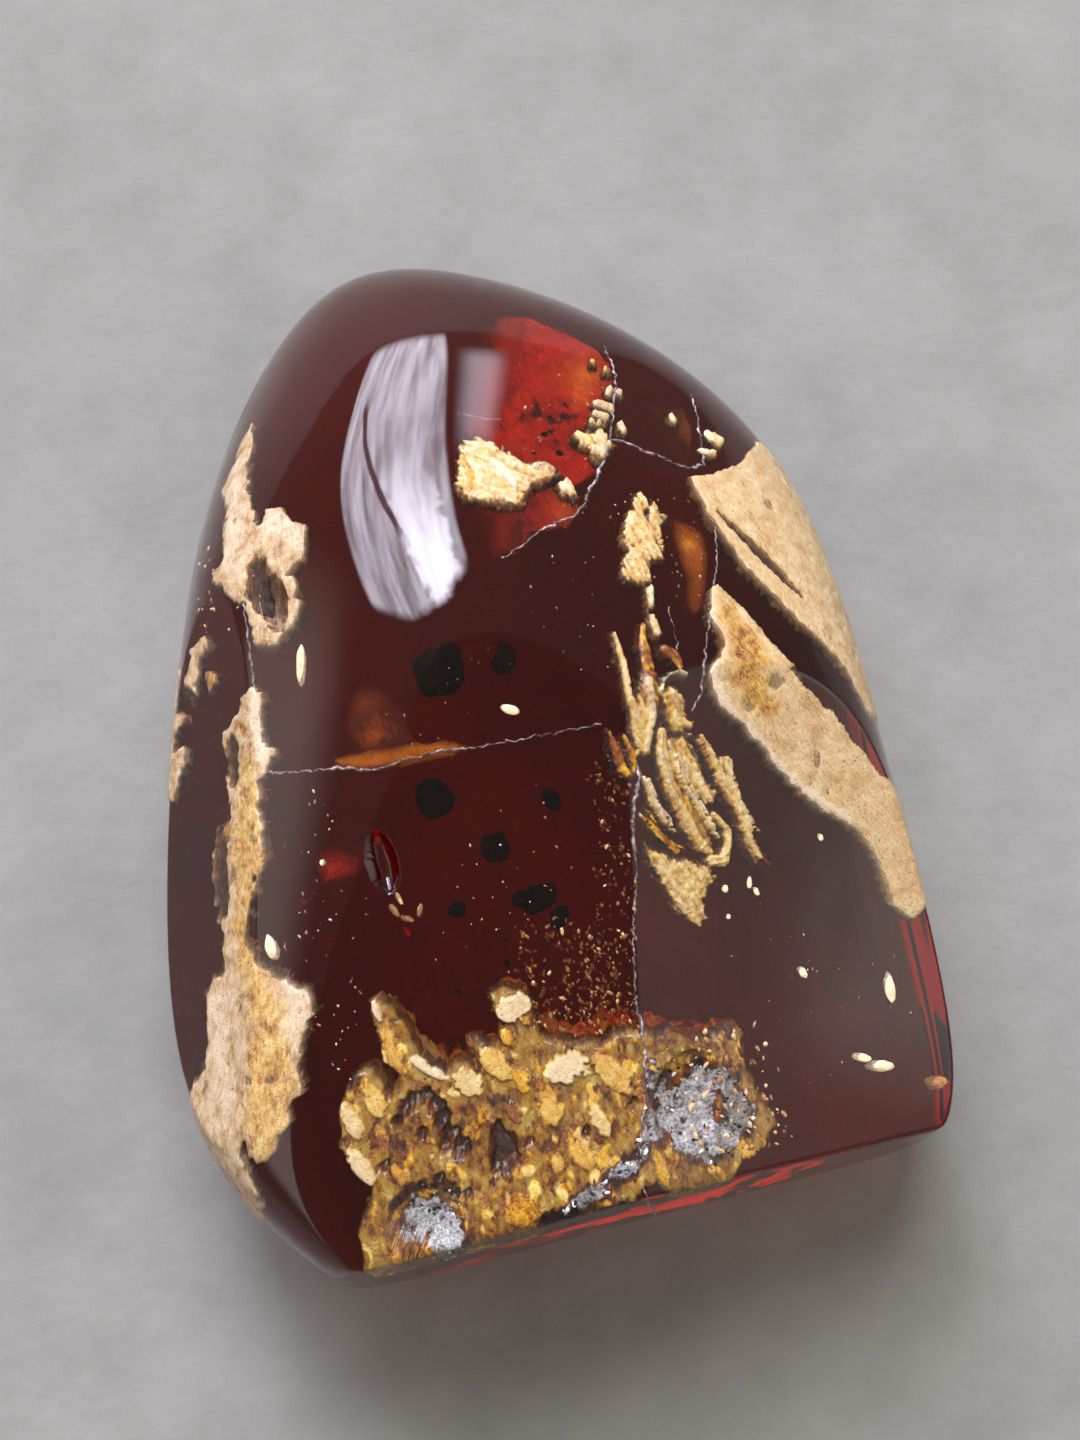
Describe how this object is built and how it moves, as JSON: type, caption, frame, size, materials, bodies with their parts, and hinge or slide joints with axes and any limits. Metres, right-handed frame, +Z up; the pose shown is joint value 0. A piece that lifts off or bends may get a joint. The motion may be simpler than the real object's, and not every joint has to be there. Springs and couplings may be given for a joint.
{
  "type": "polished amber piece",
  "caption": "Polished freeform of dark cherry amber with a domed head, lapped facets and a sawn end, holding tan crust and golden matrix.",
  "frame": {"origin": "middle of the bounding box on the surface that the piece lies on", "axes": "+Z up from the flat resting back, +Y along the piece from its sawn end to its domed head, +X to the side of the right facet"},
  "size_m": [0.0562, 0.0773, 0.0311],
  "materials": {
    "amber": "polished",
    "crust": "matte",
    "plume": "satin",
    "matrix": "satin"
  },
  "bodies": {
    "root": {"amber_body": "amber", "left_crust_upper": "crust", "left_crust_lower": "crust", "left_crust_side": "crust", "right_crust_upper": "crust", "right_crust_lower": "crust", "plume": "plume", "chip_crust": "plume", "foot_matrix": "matrix"}
  },
  "joints": []
}
